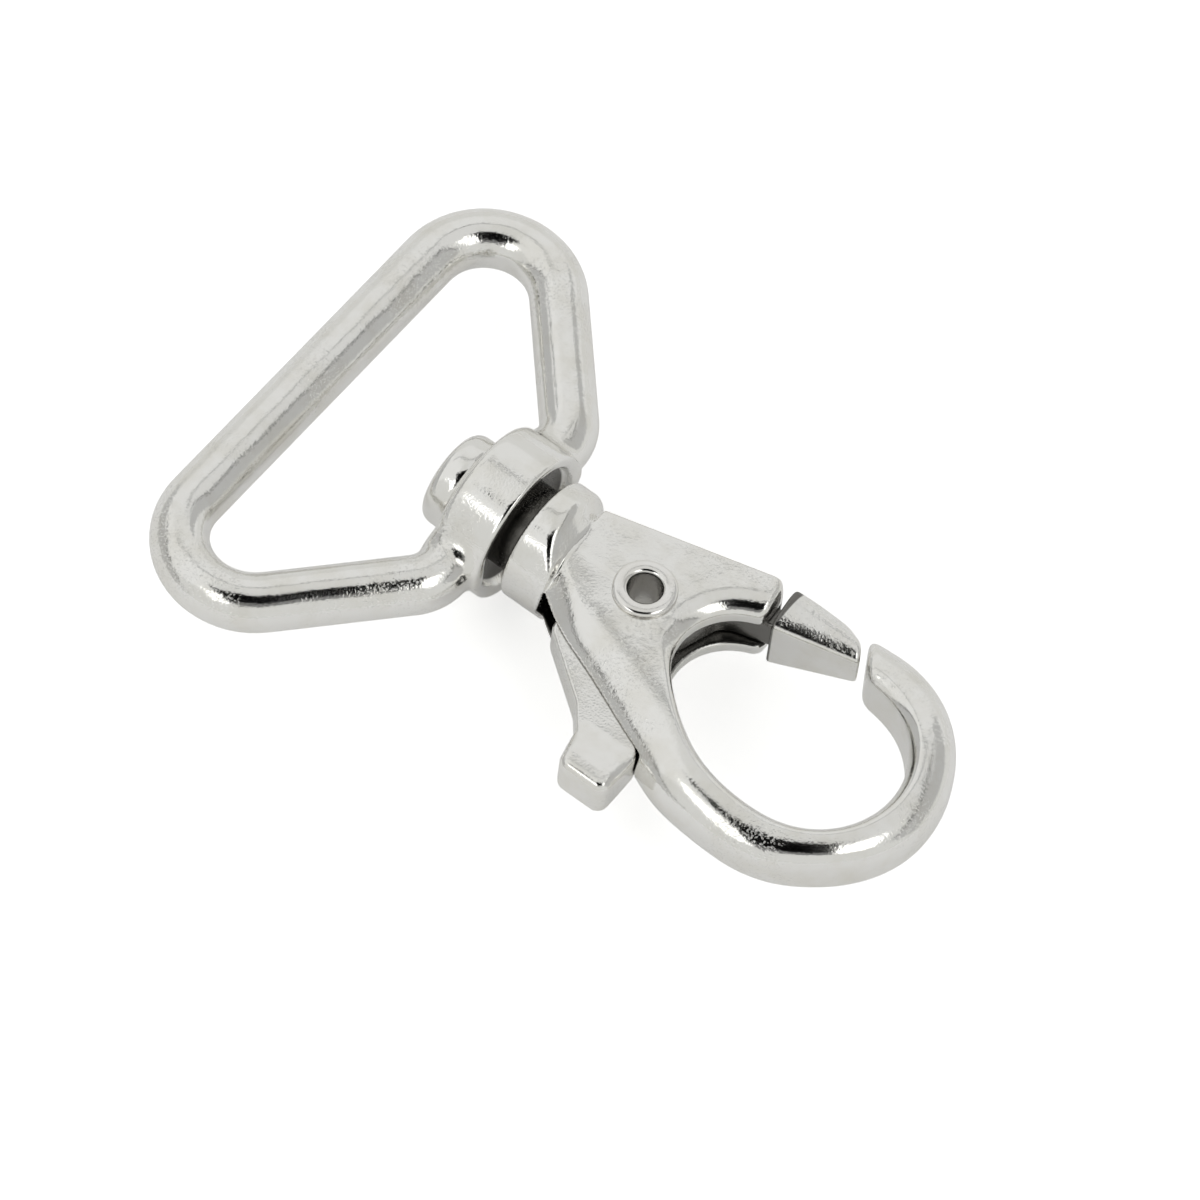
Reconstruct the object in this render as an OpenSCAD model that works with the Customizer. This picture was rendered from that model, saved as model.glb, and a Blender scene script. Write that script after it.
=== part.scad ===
// Swivel snap hook for a 30 mm strap: a triangular eye turns on the shank of a
// lobster-claw hook body, and a sprung trigger lever closes the hook.
// Millimetres. The object lies on its side: +X runs along the swivel axis from
// the eye towards the nose of the hook, +Y towards the gate, +Z up.
// Plan sizes of the hook body are measured from the pivot of the lever.

/* [Eye] */
// Diameter of the round bar of the eye
bar_d = 4.7; // [3.8:0.1:5.6]
// Inside width of the eye behind the base bar
eye_inside_w = 36; // [30:0.5:43]
// From the middle of the collar to the middle of the base bar
eye_reach = 18.6; // [17:0.1:24]
// Bend radius at the two base corners, along the middle of the bar
corner_r = 5.7; // [5:0.1:7]
// From the swivel axis to the outer shoulder, where a side bar turns to the collar
shoulder_y = 8.8; // [8.4:0.1:10]
// Bend radius of the shoulders, along the middle of the bar
shoulder_r = 3.6; // [2.6:0.1:4.4]

/* [Swivel] */
// Diameter of the collar
collar_d = 13.1; // [11.5:0.1:15]
// Length of the collar along the swivel axis
collar_l = 4.3; // [3.8:0.1:5.2]
// Rounding of the rims of the collar
collar_edge = 0.6; // [0.3:0.05:0.9]
// Diameter of the dish in the front face of the collar
dish_d = 10.4; // [9:0.1:11.5]
// Depth of the dish
dish_depth = 1.3; // [0.8:0.1:1.8]
// Diameter of the shank that the eye turns on
shank_d = 5.4; // [4.4:0.1:6.4]
// Diameter of the shoulder on the shank, which stands in the dish
thrust_d = 7.4; // [6.8:0.1:8.4]
// Diameter of the riveted head behind the collar
head_d = 8; // [7.2:0.1:9.4]
// Length of the riveted head
head_l = 2.8; // [2:0.1:3.6]
// Running clearance of the shank in the collar, on the radius
shank_fit = 0.08; // [0.05:0.01:0.1]
// End play of the eye on the shank, at each side
end_play = 0.15; // [0.1:0.05:0.3]

/* [Neck] */
// Diameter of the neck
neck_d = 10.1; // [9:0.1:11.5]
// Length of the neck, with its fillet
neck_l = 3.2; // [2.6:0.1:4.2]
// Gap between the collar and the neck
neck_gap = 2.3; // [1.6:0.1:3]
// From the swivel axis down to the pivot, across the plate
pivot_drop = 0.45; // [0:0.05:1]

/* [Plate] */
// Thickness of the plate, over both cheeks
plate_t = 7.2; // [6.6:0.1:8]
// From the pivot back to where the plate meets the neck
plate_back = 6.8; // [6.6:0.1:8]
// From the pivot to the front face of the jaw
jaw_x = 7.8; // [7.2:0.1:8.4]
// From the pivot out to the far corner of the jaw
jaw_y = 8.4; // [8:0.1:9]
// Rounding of the far corner of the jaw
jaw_r = 1.1; // [0.6:0.1:1.6]
// Bevel along the far edge and the front of the jaw
plate_bevel = 0.5; // [0.3:0.05:0.8]
// Width of the rounded bevel along the near edge
near_bevel = 2.7; // [2:0.1:3.2]
// Width of the wide bevel round the back of the opening
back_bevel_w = 1.8; // [1.2:0.1:2.2]
// Depth of that bevel
back_bevel_depth = 1; // [0.6:0.1:1.3]

/* [Hook opening and bow] */
// From the pivot to the back of the opening
opening_back = 4.55; // [4.4:0.05:5.2]
// Radius of the back of the opening
opening_r = 5.1; // [4.6:0.1:5.6]
// From the pivot to the middle of the bow
bow_x = 18.1; // [17.4:0.1:20]
// From the pivot down to the middle of the bow
bow_drop = 1.9; // [1.5:0.1:2.4]
// Inside radius of the bow
bow_r = 7.25; // [6.8:0.05:7.8]
// Width of the arm where it leaves the plate
arm_root_w = 4.4; // [4.2:0.1:4.8]
// Width of the arm at the bend before the nose
arm_bend_w = 3; // [2.6:0.1:3.6]
// Width of the arm at the nose
arm_nose_w = 3.5; // [3:0.1:4]
// Width of the arm before the tip
arm_tip_w = 4; // [3.6:0.1:4.4]
// Thickness of the arm round the bow
arm_t = 6.4; // [5.8:0.1:6.8]
// Thickness of the arm at its tip
tip_t = 5.2; // [4.6:0.1:5.8]
// Height of the flat inner wall of the arm
inner_wall_t = 3.5; // [3:0.1:4]
// Width of the bevel between the inner wall and the crest of the arm
inner_bevel = 1.15; // [0.8:0.05:1.4]
// Direction that the faces of the tip and the gate look along, from the hook's length
tip_angle = 31; // [27:0.5:34]
// From the pivot to the face of the tip, along that direction
tip_reach = 17.7; // [17.4:0.1:18.4]

/* [Lever] */
// Thickness of the lever where it runs between the cheeks
lever_t = 3; // [2.6:0.1:3.4]
// Clearance of the lever at each cheek
cheek_fit = 0.1; // [0.08:0.01:0.2]
// Clearance between the lever and its stops
stop_fit = 0.12; // [0.08:0.01:0.25]
// Opening travel of the lever
open_angle = 28; // [20:1:28]
// Radius of the hub round the rivet
hub_r = 3.45; // [3.3:0.05:3.7]
// From the pivot down to the end of the thumb tab
tab_reach = 15.6; // [14.5:0.1:17]
// Width of the thumb tab
tab_w = 5; // [4.4:0.1:5.6]
// Gap between the gate and the tip
gate_gap = 0.55; // [0.4:0.05:0.9]
// Thickness of the gate at its root
gate_root_t = 6.2; // [5.8:0.1:6.6]
// Thickness of the gate at its end
gate_end_t = 4; // [3.6:0.1:4.6]
// Bevel along the edges of the gate
gate_bevel = 0.85; // [0.5:0.05:1]

/* [Rivet and spring] */
// Outside diameter of the tubular rivet
rivet_d = 3.6; // [3.4:0.05:3.8]
// Hole through the rivet
rivet_hole_d = 2.75; // [2.4:0.05:2.9]
// Diameter of the rolled rims of the rivet
rivet_rim_d = 5.1; // [4.8:0.1:5.6]
// Height of the rolled rims over the plate
rivet_rim_h = 0.45; // [0.3:0.05:0.6]
// Running clearance of the lever on the rivet, on the radius
rivet_fit = 0.06; // [0.04:0.01:0.1]
// Thickness of the spring wire
wire_d = 0.45; // [0.35:0.05:0.5]
// Turns of the spring
spring_turns = 2; // [2:0.25:2.25]

/* [Hidden] */
// Facets of full rounds, and degrees for each step of the swept bow
round_fn = 96;
bar_sides = 24;
bow_step = 6;
overlap = 0.01;

function dir(a) = [cos(a), sin(a)];
function angle_of(v) = atan2(v[1], v[0]);
function mix(a, b, t) = a + (b - a) * t;
function ease(t) = t * t * (3 - 2 * t);
// A value eased between [angle, value] stops that run upwards
function eased(a, stops, i = 0) =
    a <= stops[i][0] ? stops[i][1] :
    i + 1 >= len(stops) ? stops[i][1] :
    a > stops[i + 1][0] ? eased(a, stops, i + 1) :
    mix(stops[i][1], stops[i + 1][1], ease((a - stops[i][0]) / (stops[i + 1][0] - stops[i][0])));
function arc(c, r, a0, a1, n) = [for (i = [0:n]) c + r * dir(mix(a0, a1, i / n))];
// The arc that rounds corner q, between its neighbours p and s
function round_corner(p, q, s, r) =
    let (u = (p - q) / norm(p - q),
         v = (s - q) / norm(s - q),
         half = acos(u * v) / 2,
         c = q + (u + v) / norm(u + v) * r / sin(half),
         a0 = angle_of(q + u * r / tan(half) - c),
         sweep = (angle_of(q + v * r / tan(half) - c) - a0 + 540) % 360 - 180)
    arc(c, r, a0, a0 + sweep, ceil(abs(sweep) / 18));
// A closed outline from corners written as [x, y, radius]
function rounded(corners) =
    let (n = len(corners), xy = [for (c = corners) [c[0], c[1]]])
    [for (i = [0:n - 1]) each corners[i][2] > 0
        ? round_corner(xy[(i + n - 1) % n], xy[i], xy[(i + 1) % n], corners[i][2])
        : [xy[i]]];

// Heights of the plate and the slot, from the middle plane
plate_z = plate_t / 2;
slot_z = lever_t / 2 + cheek_fit;
neck_front = -plate_back;
neck_back = neck_front + 0.3 - neck_l;
collar_front = neck_back - neck_gap;
collar_back = collar_front - collar_l;
collar_mid = (collar_front + collar_back) / 2;
base_x = collar_mid - eye_reach;

// Contour of the opening: the edge of three round discs, taken by the direction it faces
back_c = [opening_back + opening_r, -0.75];
bow_c = [bow_x, -bow_drop];
mid_c = mix(back_c, bow_c, 0.46) + [0, -0.72];
mid_r = mix(opening_r, bow_r, 0.7);
function reach(c, r, a) = c * dir(a) + r;
function opening_at(a) =
    reach(back_c, opening_r, a) >= max(reach(mid_c, mid_r, a), reach(bow_c, bow_r, a))
        ? back_c + opening_r * dir(a)
    : reach(mid_c, mid_r, a) >= reach(bow_c, bow_r, a)
        ? mid_c + mid_r * dir(a)
    : bow_c + bow_r * dir(a);
function arm_inner(a) = a > 330 ? bow_c + bow_r * dir(a) : opening_at(a);

// Near edge of the plate: a line from a knee by the neck towards the arm
near_slope = -21.4;
near_knee = [-4.3, -6.7];
near_out = dir(near_slope - 90);
function to_near_edge(p, a) = (near_knee - p) * near_out / (dir(a) * near_out);
arm_start = 215;
arm_free = 245;
tip_end = 462;
arm_w_stops = [[arm_free, arm_root_w], [270, mix(arm_root_w, arm_bend_w, 0.45)],
    [312, arm_bend_w], [360, arm_nose_w], [440, arm_tip_w], [tip_end, arm_tip_w * 0.85]];
function arm_w(a) = a < arm_free ? to_near_edge(opening_at(a), a) : eased(a, arm_w_stops);

// A station of the swept body: inner point, crest above it, outer point, way out at it,
// half height of the inner wall, width of the rounded outside, half height, fullness of the outside
function station(p, crest, q, out, wall_z, outer, z, full) =
    let (outside = [for (k = [1:4]) let (a = 90 - 18 * k)
             let (s = q - out * outer * (1 - pow(cos(a), full))) [s[0], s[1], z * pow(sin(a), full)]],
         top = concat([[p[0], p[1], wall_z], [crest[0], crest[1], z],
             [q[0] - out[0] * outer, q[1] - out[1] * outer, z]], outside))
    concat(top, [[q[0], q[1], 0]], [for (k = [len(top) - 1:-1:0]) [top[k][0], top[k][1], -top[k][2]]]);

plate_full = 1.5;
arm_full = 0.8;
edge_break = 0.12;
far_neck = [neck_front, neck_d / 2 - 0.55];
jaw_corner = [jaw_x + 0.2, jaw_y];
jaw_lip = [jaw_x + 0.75, back_c[1] + sqrt(pow(opening_r, 2) - pow(jaw_x + 0.75 - back_c[0], 2))];
lip_angle = angle_of(jaw_lip - back_c);
lip_next = opening_at(lip_angle + 14);
bevel_r = opening_r + back_bevel_w;
bevel_z = plate_z - back_bevel_depth;
bevel_y = back_c[1] + sqrt(pow(bevel_r, 2) - pow(jaw_lip[0] - 0.3 - back_c[0], 2));
bevel_start = mix(jaw_corner, jaw_lip, (jaw_corner[1] - bevel_y) / (jaw_corner[1] - jaw_lip[1]));
// Far edge of the plate and the corner of the jaw, the front of the jaw, then the back of the opening
far_side = concat([far_neck, mix(far_neck, jaw_corner, 0.6)],
    round_corner(far_neck, jaw_corner, jaw_lip, jaw_r));
jaw_front = concat([mix(bevel_start, jaw_lip, 0.45)], round_corner(bevel_start, jaw_lip, lip_next, 0.6));
back_from = angle_of(lip_next - back_c);
back_angles = [for (i = [1:11]) mix(back_from, arm_start - bow_step, i / 11)];
function near_point(t) = near_knee + t * dir(near_slope);
near_len = (opening_at(arm_start) + arm_w(arm_start) * dir(arm_start) - near_knee) * dir(near_slope);
function way_in(i) =
    let (a = far_side[i - 1], b = i + 1 < len(far_side) ? far_side[i + 1] : bevel_start, u = (b - a) / norm(b - a))
    [u[1], -u[0]];
// Width of the bevel round the opening, and height of the wall below it, by angle
bevel_stops = [[back_from, back_bevel_w], [188, back_bevel_w], [226, 0.4], [276, inner_bevel], [440, inner_bevel],
    [tip_end, inner_bevel * 0.8]];
wall_stops = [[back_from, bevel_z], [188, bevel_z], [226, plate_z - 0.4], [266, inner_wall_t / 2],
    [440, inner_wall_t / 2], [tip_end, inner_wall_t * 0.4]];
// The second station runs through the middle of the rivet's hole, and the later ones clear of it
last_plate = len(far_side) + len(jaw_front) + len(back_angles);
function near_share(i) = i < 2 ? 0.1 : mix(0.6, 1, (i - 2) / (last_plate - 1));
function plate_station(i, p, crest, wall_z) =
    station(p, crest, near_point(near_share(i) * near_len), near_out, wall_z, near_bevel, plate_z, plate_full);
plate_stations = concat(
    [station(far_neck, far_neck - [0, plate_bevel], [neck_front, -neck_d / 2 + 0.35], [0, -1],
        plate_z - plate_bevel, near_bevel * 0.6, plate_z, plate_full)],
    [for (i = [1:len(far_side) - 1])
        plate_station(i, far_side[i], far_side[i] + way_in(i) * plate_bevel, plate_z - plate_bevel)],
    [plate_station(len(far_side), bevel_start, bevel_start - [edge_break, 0], plate_z - edge_break)],
    [for (i = [0:len(jaw_front) - 1]) let (k = (i + 1) / len(jaw_front))
        plate_station(len(far_side) + 1 + i, jaw_front[i], back_c + bevel_r * dir(mix(lip_angle, back_from, k)),
            mix(plate_z, bevel_z, min(1, 0.5 + 0.5 * k)))],
    [for (i = [0:len(back_angles) - 1]) let (a = back_angles[i], p = opening_at(a))
        plate_station(len(far_side) + len(jaw_front) + 1 + i, p, p + eased(a, bevel_stops) * dir(a),
            eased(a, wall_stops))]);

// The arm, swept round the opening by the direction its inner wall faces away from
function arm_station(a) =
    let (p = arm_inner(a),
         w = arm_w(a),
         bevel = eased(a, bevel_stops),
         outer = eased(a, [[arm_start, near_bevel], [285, w - bevel - overlap], [tip_end, w - bevel - overlap]]))
    station(p, p + bevel * dir(a), p + w * dir(a), a < arm_free ? near_out : dir(a), eased(a, wall_stops), outer,
        eased(a, [[230, plate_z], [285, arm_t / 2], [400, arm_t / 2], [tip_end, tip_t / 2]]),
        eased(a, [[arm_start, plate_full], [285, arm_full], [tip_end, arm_full]]));
arm_stations = [for (a = [arm_start:bow_step:tip_end + bow_step]) arm_station(min(a, tip_end))];

// Outline of the lever: its back corner, the thumb tab, and the arm to the gate
back_corner = [-4.3, -6.1];
tab_right = 8.1;
tab_left = tab_right - tab_w + 0.9;
stop_x = tab_right + stop_fit;
arm_far = [jaw_x + 2.4, 7.2];
arm_near = [jaw_x + 2.4, 5.3];
hub_top = hub_r * dir(104);
lever_outline = rounded([
    [back_corner[0], back_corner[1], 1.3], [1.4, -10.3, 2.5], [tab_left - 0.9, -12.4, 1.5],
    [tab_left - 0.2, -tab_reach, 0.9], [tab_right, -tab_reach, 0.9], [tab_right, -11.4, 1.5],
    [hub_r + 1.9, -5.4, 2], [hub_r + 0.1, -1, 1.5], [5.1, 3.8, 2], [arm_near[0], arm_near[1], 0],
    [arm_far[0], arm_far[1], 0], [hub_top[0], hub_top[1] + 0.6, 1.5], [-3.7, 2, 1.6]]);
slot_back = norm(back_corner) * cos(angle_of(back_corner) + 360 - open_angle) + 0.4 - stop_fit;
slot_low = -tab_reach;
slot_outline = concat(
    [[slot_back, slot_low], [slot_back, -2.4], [-hub_r - 0.35, 1.4], [-hub_r - 0.1, 2.3]],
    [hub_top + [-1.6, 0.4], hub_top + [0, 0.6 + stop_fit], arm_far + [0, stop_fit]],
    [[jaw_x + 4, jaw_y], [jaw_x + 4, -2], [hub_r + 2.4, -4.4], [hub_r + 2.6, -6], [stop_x, -11.3], [stop_x, slot_low]]);

// A closed skin over rings of equal length, its two halves split alike
module skin(rings) {
    n = len(rings[0]);
    last = len(rings) - 1;
    polyhedron(
        points = [for (ring = rings) each ring],
        faces = concat(
            [[for (k = [0:n - 1]) k]],
            [for (i = [0:last - 1]) for (k = [0:n - 1])
                let (a = i * n + k, b = a + n, c = (i + 1) * n + (k + 1) % n, d = c - n)
                each k < n / 2 ? [[a, b, c], [a, c, d]] : [[a, b, d], [b, c, d]]],
            [[for (k = [n - 1:-1:0]) last * n + k]]));
}

// Puts a part drawn on the swivel axis, from the pivot, on the ground under the middle of the object
nose_x = bow_c[0] + bow_r + arm_nose_w;
tail_x = base_x - bar_d / 2;
module place() translate([-(nose_x + tail_x) / 2, 0, collar_d / 2]) children();
module from_pivot() translate([0, -pivot_drop, 0]) children();
module along_axis(x) translate([x, 0, 0]) rotate([0, 90, 0]) children();

module hook_body() color("gainsboro") place() {
    difference() {
        union() {
            from_pivot() skin(concat(plate_stations, arm_stations));
            neck_and_shank();
        }
        from_pivot() {
            slot();
            rivet_hole();
            tip_cut();
            spring_hole();
        }
    }
}

// Neck, shank and riveted head, turned on the swivel axis
module neck_and_shank() {
    r = neck_d / 2;
    back = neck_back;
    seat = collar_front - dish_depth + end_play;
    head_front = collar_back - end_play;
    head_back = head_front - head_l;
    head_round = 0.8;
    along_axis(0) rotate_extrude($fn = round_fn) polygon(concat(
        [[0, neck_front + 1.5], [plate_z - 0.4, neck_front + 1.5], [plate_z - 0.4, neck_front + 0.6],
         [r - 1.1, neck_front + 0.1], [r - 0.25, neck_front - 0.45], [r, neck_front - 0.9],
         [r, back + 0.4], [r - 0.12, back + 0.12], [r - 0.4, back], [thrust_d / 2, back],
         [thrust_d / 2, seat + 0.2], [thrust_d / 2 - 0.2, seat], [shank_d / 2, seat],
         [shank_d / 2, head_front], [head_d / 2 - 0.25, head_front], [head_d / 2, head_front - 0.25]],
        arc([head_d / 2 - head_round, head_back + head_round], head_round, 0, -90, 6),
        [[0, head_back]]));
}

module rivet_hole() cylinder(d = rivet_d + 0.04, h = 2 * plate_t, center = true, $fn = round_fn);

// Cuts the arm's end to the face of the tip, from behind the last of the sweep
sweep_end = arm_inner(tip_end) * dir(tip_angle);
cut_from = min(sweep_end, tip_reach) - 1;
module tip_cut() rotate(tip_angle) translate([cut_from, -bow_r, -plate_t])
    cube([tip_reach - cut_from, 2 * bow_r, 2 * plate_t]);

module slot() translate([0, 0, -slot_z]) linear_extrude(2 * slot_z) polygon(slot_outline);

// Eye: a round bar bent to a triangle, cast in one with the collar
eye_side = eye_inside_w / 2 + bar_d / 2;
corner_c = [base_x + corner_r, eye_side - corner_r];
shoulder = [collar_mid, shoulder_y];
to_corner = corner_c - shoulder;
side_angle = angle_of(to_corner) - asin(corner_r / norm(to_corner));
side_len = sqrt(to_corner * to_corner - corner_r * corner_r);
bend_turn = side_angle - 90;
bend_run = shoulder_r * tan(bend_turn / 2);
bend_c = shoulder + [-shoulder_r, -bend_run];

// A ring of the bar: middle, direction of its widest point and radius
bar_skin_r = bar_d / 2 - 0.01;
function bar_ring(c, a, r = bar_skin_r) =
    [for (k = [0:bar_sides - 1]) let (b = -360 * k / bar_sides)
        [c[0] + r * cos(b) * cos(a), c[1] + r * cos(b) * sin(a), r * sin(b)]];
side_rings = concat(
    [bar_ring([collar_mid, collar_d / 2 - 0.9], 0, collar_l / 2 - 0.2)],
    [for (i = [0:6]) let (a = mix(0, bend_turn, i / 6)) bar_ring(bend_c + shoulder_r * dir(a), a)],
    [for (i = [0:12]) let (a = mix(side_angle - 90, 180, i / 12)) bar_ring(corner_c + corner_r * dir(a), a)],
    [bar_ring([base_x, corner_c[1] - 1.5], 180)]);

module eye_frame() color("gainsboro") place() {
    difference() {
        union() {
            collar();
            translate([base_x, 0, 0]) rotate([90, 0, 0])
                cylinder(d = bar_d, h = 2 * corner_c[1], center = true, $fn = round_fn);
            for (side = [0, 1]) mirror([0, side, 0]) skin(side_rings);
        }
        along_axis(collar_back - 1) cylinder(r = shank_d / 2 + shank_fit, h = collar_l + 2, $fn = round_fn);
    }
}

module collar() {
    e = collar_edge;
    r = collar_d / 2;
    bore = shank_d / 2 + shank_fit - 0.5;
    floor_x = collar_front - dish_depth;
    along_axis(0) rotate_extrude($fn = round_fn) polygon(concat(
        [[bore, collar_back]],
        arc([r - e, collar_back + e], e, -90, 0, 3),
        arc([r - e, collar_front - e], e, 0, 90, 3),
        [[dish_d / 2, collar_front], [dish_d / 2 - 0.35, collar_front - dish_depth * 0.55],
         [dish_d / 2 - 0.9, floor_x], [bore, floor_x]]));
}

// Trigger lever: an arm between the cheeks with the gate at one end and a thumb tab at the other
gate_turn = 10;
gate_end = gate_end_t / 2;
gate_root = gate_root_t / 2;
gate_n = dir(tip_angle);
gate_t = dir(tip_angle + 90);
gate_tip = gate_n * (tip_reach - gate_gap) + gate_t * -2.55;
// A ring of the gate from inner wall, inner crest, outer crest and outer wall points
function gate_ring(a, b, c, d, wall, crest, outer) =
    let (top = [[a[0], a[1], wall], [b[0], b[1], crest], [c[0], c[1], crest], [d[0], d[1], outer]])
    concat(top, [for (k = [3:-1:0]) [top[k][0], top[k][1], -top[k][2]]]);
gate_rings = [
    gate_ring([9.45, 4.66], [9.35, 5.6], [9.1, 7.4], [9.0, 8.3],
        gate_root - gate_bevel, gate_root, gate_root - gate_bevel),
    gate_ring([11, 5.15], [11, 5.9], [10.8, 7.55], [10.7, 8.75],
        gate_root - gate_bevel - 0.15, gate_root - 0.2, gate_root - gate_bevel - 0.3),
    gate_ring([13.6, 6], [13.4, 6.5], [13.4, 7.6], [13.4, 8.9],
        gate_end - gate_bevel + 0.3, mix(gate_root, gate_end, 0.62), gate_end - gate_bevel + 0.1),
    gate_ring(gate_tip, gate_tip + 0.45 * gate_t, gate_tip + 1.1 * gate_t, gate_tip + 1.65 * gate_t,
        gate_end - gate_bevel, gate_end, gate_end - gate_bevel)];

pocket_r = 2.8;
pocket_floor = 0.15;
module trigger_lever() color("silver") place() from_pivot() {
    difference() {
        union() {
            translate([0, 0, -lever_t / 2]) linear_extrude(lever_t) polygon(lever_outline);
            skin([for (i = [len(gate_rings) - 1:-1:0]) gate_rings[i]]);
            tab_pad();
        }
        cylinder(r = rivet_d / 2 + rivet_fit, h = 2 * plate_t, center = true, $fn = round_fn);
        translate([0, 0, pocket_floor - lever_t]) cylinder(r = pocket_r, h = lever_t, $fn = round_fn);
        leg_groove();
    }
}

// Thicker pad of the thumb tab, outside the cheeks
module tab_pad() {
    c = 0.45;
    pad = [[tab_left - 0.35, -13.1], [tab_left - 0.1, -tab_reach + 0.5], [tab_left + 0.5, -tab_reach],
        [tab_right - 0.6, -tab_reach], [tab_right, -tab_reach + 0.6], [tab_right, -12.6]];
    hull() {
        translate([0, 0, -lever_t / 2 + 0.1]) linear_extrude(lever_t - 0.2) polygon(pad);
        translate([0, 0, -lever_t / 2 - c]) linear_extrude(lever_t + 2 * c) offset(delta = -c) polygon(pad);
    }
}

module pivot_rivet() color("lightgray") place() from_pivot() {
    rim = rivet_rim_d / 2;
    hole = rivet_hole_d / 2;
    z = plate_z + 0.02;
    h = rivet_rim_h;
    rotate_extrude($fn = round_fn) polygon(concat(
        [[hole, -z], [hole, z]],
        [[hole + 0.1, z + h * 0.75], [hole + 0.3, z + h], [rim - 0.7, z + h], [rim - 0.3, z + h * 0.8],
         [rim - 0.05, z + h * 0.45], [rim, z + 0.1], [rim, z], [rivet_d / 2, z]],
        [[rivet_d / 2, -z], [rim, -z], [rim, -z - 0.1], [rim - 0.05, -z - h * 0.45], [rim - 0.3, -z - h * 0.8],
         [rim - 0.7, -z - h], [hole + 0.3, -z - h], [hole + 0.1, -z - h * 0.75]]));
}

// Spring: close coils round the rivet in the pocket, one leg down in the lower cheek, one out in the lever
coil_r = 2.4;
coil_pitch = wire_d + 0.04;
coil_low = -slot_z + wire_d / 2 + 0.05;
coil_high = coil_low + coil_pitch * spring_turns;
coil_end = 200;
coil_start = coil_end - 360 * spring_turns;
coil_sides = 10;
leg_fit = 0.05;
leg_down = 0.75;
leg_out = 3.6;
function on_coil(a, z) = [coil_r * cos(a), coil_r * sin(a), z];
// Points along the wire, each with the way out from the pivot there
bend = 0.3;
wire_path = concat(
    [[on_coil(coil_start, -slot_z - leg_down), coil_start], [on_coil(coil_start, coil_low - bend), coil_start],
     [on_coil(coil_start + 2, coil_low - bend / 3), coil_start + 2]],
    [for (i = [0:24 * spring_turns]) let (a = coil_start + 8 + (360 * spring_turns - 8) * i / (24 * spring_turns))
        [on_coil(a, mix(coil_low, coil_high, i / (24 * spring_turns))), a]],
    [[on_coil(coil_end, coil_high) + leg_out * [-sin(coil_end), cos(coil_end), 0], coil_end]]);

module spring_hole() translate(on_coil(coil_start, -slot_z - leg_down - leg_fit))
    cylinder(d = wire_d + 2 * leg_fit, h = leg_down + 2 * leg_fit, $fn = 24);

module leg_groove() rotate(coil_end) translate([coil_r - wire_d / 2 - leg_fit, 0, -lever_t])
    cube([wire_d + 2 * leg_fit, leg_out + leg_fit, lever_t + coil_high + wire_d / 2 + leg_fit]);

module return_spring() color("gray") place() from_pivot() {
    last = len(wire_path) - 1;
    skin([for (i = [0:last])
        let (t = wire_path[min(i + 1, last)][0] - wire_path[max(i - 1, 0)][0],
             u = on_coil(wire_path[i][1], 0) / coil_r,
             v = cross(u, t / norm(t)))
        [for (k = [0:coil_sides - 1]) let (b = -360 * k / coil_sides)
            wire_path[i][0] + wire_d / 2 * (cos(b) * u + sin(b) * v)]]);
}

hook_body();
eye_frame();
trigger_lever();
pivot_rivet();
return_spring();
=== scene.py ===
"""Looks of a bright nickel-plated swivel snap hook with a triangular strap eye.

The castings are drawn as implicit surfaces: each is a field in millimetres that is
negative inside the metal, put together from distances to lines, discs and planes with
soft minima and maxima, so that every edge has the small radius of a plated casting.
Plan sizes are measured from the pivot of the lever, as in the CAD model.
"""

import bpy
import numpy as np
from mathutils import Matrix, Vector


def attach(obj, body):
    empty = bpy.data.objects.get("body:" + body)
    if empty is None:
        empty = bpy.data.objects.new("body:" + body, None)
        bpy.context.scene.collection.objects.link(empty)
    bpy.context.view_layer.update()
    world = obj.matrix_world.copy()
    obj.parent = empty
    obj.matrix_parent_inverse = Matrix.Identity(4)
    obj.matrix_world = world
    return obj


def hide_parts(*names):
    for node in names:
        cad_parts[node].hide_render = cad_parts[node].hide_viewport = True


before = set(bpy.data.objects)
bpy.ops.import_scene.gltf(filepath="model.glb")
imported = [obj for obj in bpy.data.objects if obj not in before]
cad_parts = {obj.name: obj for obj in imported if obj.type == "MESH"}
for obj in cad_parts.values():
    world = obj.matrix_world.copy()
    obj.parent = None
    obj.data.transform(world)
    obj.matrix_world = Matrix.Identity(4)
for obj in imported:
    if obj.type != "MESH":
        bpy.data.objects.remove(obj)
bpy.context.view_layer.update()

# Place of the pivot in the frame, in millimetres, and the height of the swivel axis over it in plan
PIVOT = np.array([3.125, -0.45, 6.55])
AXIS_Y = 0.45
NECK_X, NECK_BACK = -6.8, -10.2
COLLAR_FRONT, COLLAR_BACK = -11.5, -16.3
PLATE_Z, SLOT_Z = 3.6, 1.6


# ---------------------------------------------------------------- maths of the shapes
def ray(a):
    """Unit direction at an angle in degrees."""
    return np.array([np.cos(np.radians(a)), np.sin(np.radians(a))])


def smax(a, b, k):
    """Soft maximum: the larger of two fields, rounded over a width k where they meet."""
    h = np.clip(0.5 + 0.5 * (a - b) / k, 0, 1)
    return b + (a - b) * h + k * h * (1 - h)


def smin(a, b, k):
    """Soft minimum, the mirror of the soft maximum."""
    return -smax(-a, -b, k)


def eased(a, stops):
    """Value at angle a, eased with 3t^2 - 2t^3 between (angle, value) stops."""
    out = np.full(np.shape(a), stops[0][1], np.float32)
    for (a0, v0), (a1, v1) in zip(stops, stops[1:]):
        t = np.clip((a - a0) / (a1 - a0), 0, 1)
        out = out + (v1 - v0) * t * t * (3 - 2 * t)
    return out


def pnorm(u, v, p):
    """(u^p + v^p)^(1/p) of two lengths that aren't negative."""
    return (u**p + v**p) ** (1 / p)


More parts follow.
